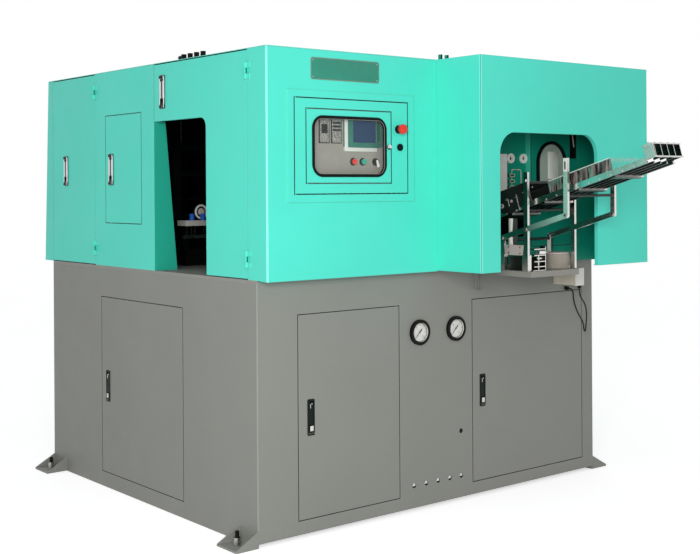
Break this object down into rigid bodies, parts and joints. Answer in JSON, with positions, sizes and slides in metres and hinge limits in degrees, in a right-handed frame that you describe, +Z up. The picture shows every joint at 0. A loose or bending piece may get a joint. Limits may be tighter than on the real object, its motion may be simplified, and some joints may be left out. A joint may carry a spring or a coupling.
{
  "type": "blow moulding machine",
  "caption": "Stretch blow moulding machine: grey base cabinet, green guard with doors and control panel, and an inclined preform chute that enters a loader hood.",
  "frame": {"origin": "on the floor, middle of the footprint without the cable", "axes": "+X to the right along the front, +Y to the back, +Z up; the control panel faces -Y"},
  "size_m": [2.13, 2.7222, 1.905],
  "materials": {
    "grey_enamel": "satin",
    "green_enamel": "satin",
    "dark_steel": "satin",
    "bright_steel": "satin",
    "chrome": "polished",
    "alloy": "satin",
    "zinc": "satin",
    "black_rubber": "matt",
    "black_plastic": "satin",
    "cream_plastic": "matt",
    "red_plastic": "gloss",
    "green_plastic": "gloss",
    "clear_glass": "polished",
    "smoked_acrylic": "polished",
    "cable_jacket": "matt"
  },
  "bodies": {
    "machine": {"base_front_wall": "grey_enamel", "base_left_wall": "grey_enamel", "base_right_wall": "grey_enamel", "base_rear_wall": "grey_enamel", "base_deck": "grey_enamel", "base_frame": "grey_enamel", "levelling_feet": "zinc", "gauge_bodies": "black_plastic", "guard_front_cover": "green_enamel", "guard_side_panel": "green_enamel", "guard_right_panel": "green_enamel", "guard_rear_cover": "green_enamel", "guard_roof": "green_enamel", "loader_hood": "green_enamel", "hood_partition": "green_enamel", "loader_shelf": "grey_enamel", "loader_support": "bright_steel", "chute_rails": "alloy", "chute_head": "alloy", "chute_cover": "smoked_acrylic", "feed_drive": "dark_steel", "index_housing": "bright_steel", "junction_box": "cream_plastic", "cable_glands": "black_plastic", "sensor_cable": "cable_jacket", "clamp_frame": "dark_steel", "oven_unit": "bright_steel", "electrical_plate": "zinc"},
    "front_left_door": {"front_left_door": "grey_enamel"},
    "front_left_lever": {"front_left_lever": "dark_steel"},
    "front_right_door": {"front_right_door": "grey_enamel"},
    "front_right_lever": {"front_right_lever": "dark_steel"},
    "side_door": {"side_door": "grey_enamel"},
    "side_door_lever": {"side_door_lever": "dark_steel"},
    "rear_guard_door": {"rear_guard_door": "green_enamel"},
    "rear_guard_lever": {"rear_guard_lever": "dark_steel"},
    "inspection_door": {"inspection_door": "green_enamel"},
    "inspection_lever": {"inspection_lever": "dark_steel"},
    "outlet_door": {"outlet_door": "green_enamel"},
    "outlet_lever": {"outlet_lever": "dark_steel"},
    "inner_door": {"inner_door": "green_enamel", "inner_door_glazing": "clear_glass"},
    "inner_door_lever": {"inner_door_lever": "dark_steel"},
    "control_panel": {"control_panel_door": "green_enamel", "instrument_plate": "alloy"},
    "window": {"window_door": "green_enamel", "window_gasket": "black_rubber", "window_pane": "clear_glass"},
    "panel_key_lock": {"panel_key_lock": "black_plastic"},
    "window_latch": {"window_latch": "chrome"},
    "mode_selector": {"mode_selector": "black_plastic"},
    "stop_button": {"stop_button": "red_plastic"},
    "start_button": {"start_button": "green_plastic"},
    "emergency_stop_head": {"emergency_stop_head": "red_plastic"},
    "gauge_needle_left": {"gauge_needle_left": "dark_steel"},
    "gauge_needle_right": {"gauge_needle_right": "dark_steel"},
    "index_table": {"index_table": "alloy"},
    "mould_half_left": {"mould_half_left": "alloy"},
    "mould_half_right": {"mould_half_right": "alloy"},
    "stretch_carriage": {"stretch_carriage": "alloy"}
  },
  "joints": [
    {"name": "front_left_door_hinge", "type": "hinge", "parent": "machine", "child": "front_left_door", "pos_m": [-0.271, -0.46087, 0.464], "axis": [0, 0, 1], "range_deg": [0, 110]},
    {"name": "front_right_door_hinge", "type": "hinge", "parent": "machine", "child": "front_right_door", "pos_m": [0.877, -0.46087, 0.464], "axis": [0, 0, 1], "range_deg": [0, 110], "deforming": ["sensor_cable"]},
    {"name": "side_door_hinge", "type": "hinge", "parent": "machine", "child": "side_door", "pos_m": [-0.957, 0.07713, 0.464], "axis": [0, 0, 1], "range_deg": [0, 110]},
    {"name": "inspection_door_hinge", "type": "hinge", "parent": "machine", "child": "inspection_door", "pos_m": [-0.957, 0.41113, 1.435], "axis": [0, 0, 1], "range_deg": [0, 110]},
    {"name": "inner_door_hinge", "type": "hinge", "parent": "machine", "child": "inner_door", "pos_m": [0.532, -0.48587, 1.45], "axis": [0, 0, -1], "range_deg": [0, 50]},
    {"name": "rear_guard_door_hinge", "type": "hinge", "parent": "machine", "child": "rear_guard_door", "pos_m": [-0.971, 0.82813, 1.437], "axis": [0, 0, 1], "range_deg": [0, 110]},
    {"name": "outlet_door_hinge", "type": "hinge", "parent": "machine", "child": "outlet_door", "pos_m": [-0.971, -0.40787, 1.437], "axis": [0, 0, 1], "range_deg": [0, 110]},
    {"name": "front_left_lever_pin", "type": "hinge", "parent": "front_left_door", "child": "front_left_lever", "pos_m": [-0.717, -0.46287, 0.5125], "axis": [-1, 0, 0], "range_deg": [0, 45]},
    {"name": "front_right_lever_pin", "type": "hinge", "parent": "front_right_door", "child": "front_right_lever", "pos_m": [0.223, -0.46287, 0.5125], "axis": [-1, 0, 0], "range_deg": [0, 45]},
    {"name": "side_door_lever_pin", "type": "hinge", "parent": "side_door", "child": "side_door_lever", "pos_m": [-0.959, 0.71113, 0.5125], "axis": [0, 1, 0], "range_deg": [0, 45]},
    {"name": "rear_guard_lever_pin", "type": "hinge", "parent": "rear_guard_door", "child": "rear_guard_lever", "pos_m": [-0.959, 1.12613, 1.4865], "axis": [0, 1, 0], "range_deg": [0, 45]},
    {"name": "inspection_lever_pin", "type": "hinge", "parent": "inspection_door", "child": "inspection_lever", "pos_m": [-0.959, 0.67213, 1.4865], "axis": [0, 1, 0], "range_deg": [0, 45]},
    {"name": "outlet_lever_pin", "type": "hinge", "parent": "outlet_door", "child": "outlet_lever", "pos_m": [-0.959, 0.21713, 1.8035], "axis": [0, 1, 0], "range_deg": [0, 45]},
    {"name": "inner_door_lever_pin", "type": "hinge", "parent": "inner_door", "child": "inner_door_lever", "pos_m": [0.803, -0.48787, 1.5975], "axis": [-1, 0, 0], "range_deg": [0, 45]},
    {"name": "control_panel_hinge", "type": "hinge", "parent": "machine", "child": "control_panel", "pos_m": [-0.833, -0.53587, 1.505], "axis": [0, 0, -1], "range_deg": [0, 95]},
    {"name": "window_hinge", "type": "hinge", "parent": "control_panel", "child": "window", "pos_m": [-0.778, -0.53587, 1.505], "axis": [0, 0, -1], "range_deg": [0, 80]},
    {"name": "panel_key_turn", "type": "hinge", "parent": "control_panel", "child": "panel_key_lock", "pos_m": [-0.314, -0.54087, 1.507], "axis": [0, -1, 0], "range_deg": [0, 90]},
    {"name": "window_latch_turn", "type": "hinge", "parent": "window", "child": "window_latch", "pos_m": [-0.371, -0.54087, 1.507], "axis": [0, -1, 0], "range_deg": [0, 90]},
    {"name": "mode_selector_turn", "type": "hinge", "parent": "control_panel", "child": "mode_selector", "pos_m": [-0.42, -0.54087, 1.448], "axis": [0, -1, 0], "range_deg": [-45, 45]},
    {"name": "stop_button_press", "type": "slide", "parent": "control_panel", "child": "stop_button", "axis": [0, 1, 0], "range_m": [0, 0.004], "stiffness_N_per_m": 800},
    {"name": "start_button_press", "type": "slide", "parent": "control_panel", "child": "start_button", "axis": [0, 1, 0], "range_m": [0, 0.004], "stiffness_N_per_m": 800},
    {"name": "emergency_stop_press", "type": "slide", "parent": "control_panel", "child": "emergency_stop_head", "axis": [0, 1, 0], "range_m": [0, 0.005], "stiffness_N_per_m": 1500},
    {"name": "gauge_left_turn", "type": "hinge", "parent": "machine", "child": "gauge_needle_left", "pos_m": [-0.149, -0.46887, 0.742], "axis": [0, 1, 0], "range_deg": [0, 270], "stiffness_Nm_per_rad": 0.0005},
    {"name": "gauge_right_turn", "type": "hinge", "parent": "machine", "child": "gauge_needle_right", "pos_m": [0.06, -0.46887, 0.742], "axis": [0, 1, 0], "range_deg": [0, 270], "stiffness_Nm_per_rad": 0.0005},
    {"name": "index_table_turn", "type": "hinge", "parent": "machine", "child": "index_table", "pos_m": [0.497, -0.65887, 1.05], "axis": [0, 0, 1], "continuous": true},
    {"name": "mould_left_slide", "type": "slide", "parent": "machine", "child": "mould_half_left", "axis": [-1, 0, 0], "range_m": [0, 0.13]},
    {"name": "mould_right_slide", "type": "slide", "parent": "machine", "child": "mould_half_right", "axis": [1, 0, 0], "range_m": [0, 0.13]},
    {"name": "stretch_slide", "type": "slide", "parent": "machine", "child": "stretch_carriage", "axis": [0, 0, -1], "range_m": [0, 0.18]}
  ],
  "couplings": [
    {"joint": "mould_right_slide", "follows": "mould_left_slide", "ratio": 1}
  ]
}
